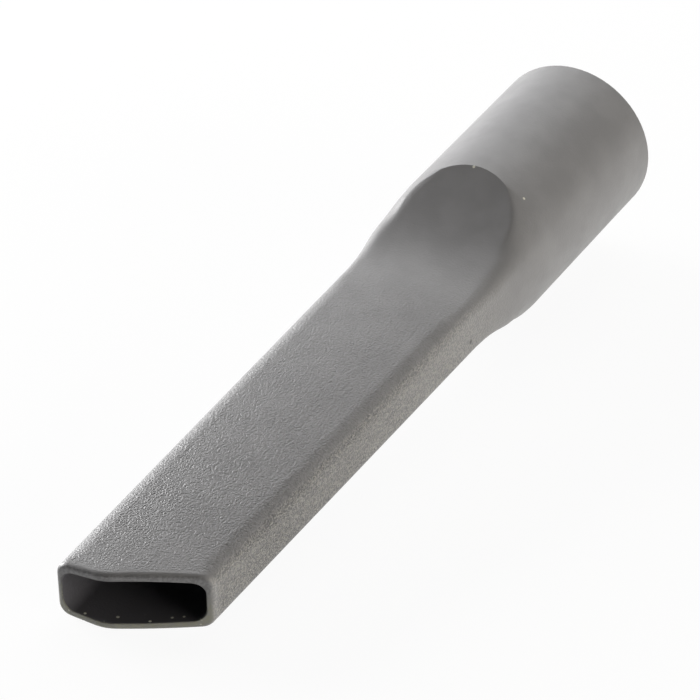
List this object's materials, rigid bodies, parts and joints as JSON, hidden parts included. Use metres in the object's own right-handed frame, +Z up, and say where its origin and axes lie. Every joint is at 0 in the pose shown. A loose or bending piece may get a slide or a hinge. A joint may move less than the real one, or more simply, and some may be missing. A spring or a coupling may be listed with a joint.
{
  "type": "vacuum crevice tool",
  "caption": "Slim crevice tool for a vacuum cleaner: a round push-on socket that scoops down into a flat, tapering duct with a slanted mouth.",
  "frame": {"origin": "middle of the footprint, on the surface that the tool lies on", "axes": "+X along the tool towards its mouth, +Z up; the tool lies nose down, on the arch's underside and the lower lip"},
  "size_m": [0.2058, 0.0394, 0.0432],
  "materials": {
    "plastic": "satin, finely grained"
  },
  "bodies": {
    "root": {"crevice_tool": "plastic"}
  },
  "joints": []
}
